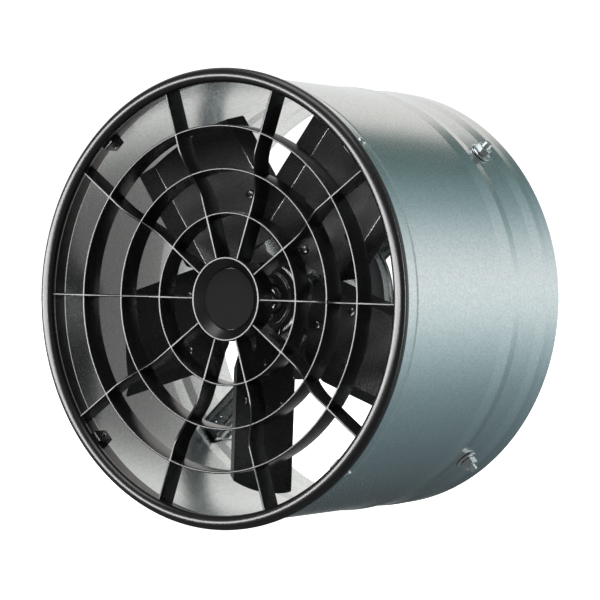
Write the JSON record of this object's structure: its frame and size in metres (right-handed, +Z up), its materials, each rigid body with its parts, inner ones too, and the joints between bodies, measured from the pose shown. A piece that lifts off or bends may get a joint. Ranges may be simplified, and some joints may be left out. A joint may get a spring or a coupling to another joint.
{
  "type": "inline duct fan",
  "caption": "Axial fan in a short round galvanised duct casing with a black moulded front guard, a folded sheet propeller and a motor on four arms.",
  "frame": {"origin": "on the fan axis, at the middle of the bounding box", "axes": "+Y along the fan axis from the guard to the open rear end, +Z up, +X to the right seen from the guard"},
  "size_m": [0.41, 0.2664, 0.41],
  "materials": {
    "galvanised_sheet": "spangled galvanised, satin",
    "guard_plastic": "moulded, semi-gloss",
    "badge_plastic": "matt, plain",
    "propeller_paint": "black powder coat, fine orange peel",
    "zinc_hardware": "bright zinc plate",
    "bearing_steel": "ground",
    "lamination": "stacked sheet edges, varnished",
    "copper_winding": "varnished wire",
    "rotor_aluminium": "die cast",
    "terminal_plastic": "moulded, matt",
    "capacitor_case": "moulded, matt"
  },
  "bodies": {
    "housing": {"duct_casing": "galvanised_sheet", "motor_front_bell": "galvanised_sheet", "motor_rear_bell": "galvanised_sheet", "motor_arm_1": "galvanised_sheet", "motor_arm_2": "galvanised_sheet", "motor_arm_3": "galvanised_sheet", "motor_arm_4": "galvanised_sheet", "wall_bracket_1": "galvanised_sheet", "wall_bracket_2": "galvanised_sheet", "wall_bracket_3": "galvanised_sheet", "wall_bracket_4": "galvanised_sheet", "front_guard": "guard_plastic", "guard_badge": "badge_plastic", "guard_screw_1": "zinc_hardware", "guard_screw_2": "zinc_hardware", "guard_screw_3": "zinc_hardware", "guard_screw_4": "zinc_hardware", "frame_bolt_1": "zinc_hardware", "frame_bolt_2": "zinc_hardware", "frame_bolt_3": "zinc_hardware", "frame_bolt_4": "zinc_hardware", "frame_washer_1": "zinc_hardware", "frame_washer_2": "zinc_hardware", "frame_washer_3": "zinc_hardware", "frame_washer_4": "zinc_hardware", "frame_nut_1": "zinc_hardware", "frame_nut_2": "zinc_hardware", "frame_nut_3": "zinc_hardware", "frame_nut_4": "zinc_hardware", "motor_bolt_1": "zinc_hardware", "motor_bolt_2": "zinc_hardware", "motor_bolt_3": "zinc_hardware", "motor_bolt_4": "zinc_hardware", "lid_screw_1": "zinc_hardware", "lid_screw_2": "zinc_hardware", "front_bearing_outer": "bearing_steel", "rear_bearing_outer": "bearing_steel", "stator_core": "lamination", "stator_winding": "copper_winding", "terminal_box": "terminal_plastic", "terminal_lid": "terminal_plastic", "cable_gland": "terminal_plastic", "run_capacitor": "capacitor_case"},
    "rotor": {"blade_1": "propeller_paint", "blade_2": "propeller_paint", "blade_3": "propeller_paint", "blade_4": "propeller_paint", "blade_5": "propeller_paint", "propeller_hub": "propeller_paint", "propeller_washer": "propeller_paint", "propeller_nut": "propeller_paint", "motor_shaft": "bearing_steel", "rotor_core": "rotor_aluminium", "front_bearing_inner": "bearing_steel", "rear_bearing_inner": "bearing_steel"},
    "front_ball_cage": {"front_bearing_balls": "bearing_steel"},
    "rear_ball_cage": {"rear_bearing_balls": "bearing_steel"}
  },
  "joints": [
    {"name": "rotor_spin", "type": "hinge", "parent": "housing", "child": "rotor", "pos_m": [0, 0, 0], "axis": [0, 1, 0], "continuous": true},
    {"name": "front_cage_spin", "type": "hinge", "parent": "housing", "child": "front_ball_cage", "pos_m": [0, 0, 0], "axis": [0, 1, 0], "continuous": true},
    {"name": "rear_cage_spin", "type": "hinge", "parent": "housing", "child": "rear_ball_cage", "pos_m": [0, 0, 0], "axis": [0, 1, 0], "continuous": true}
  ],
  "couplings": [
    {"joint": "front_cage_spin", "follows": "rotor_spin", "ratio": 0.4091},
    {"joint": "rear_cage_spin", "follows": "rotor_spin", "ratio": 0.4091}
  ]
}
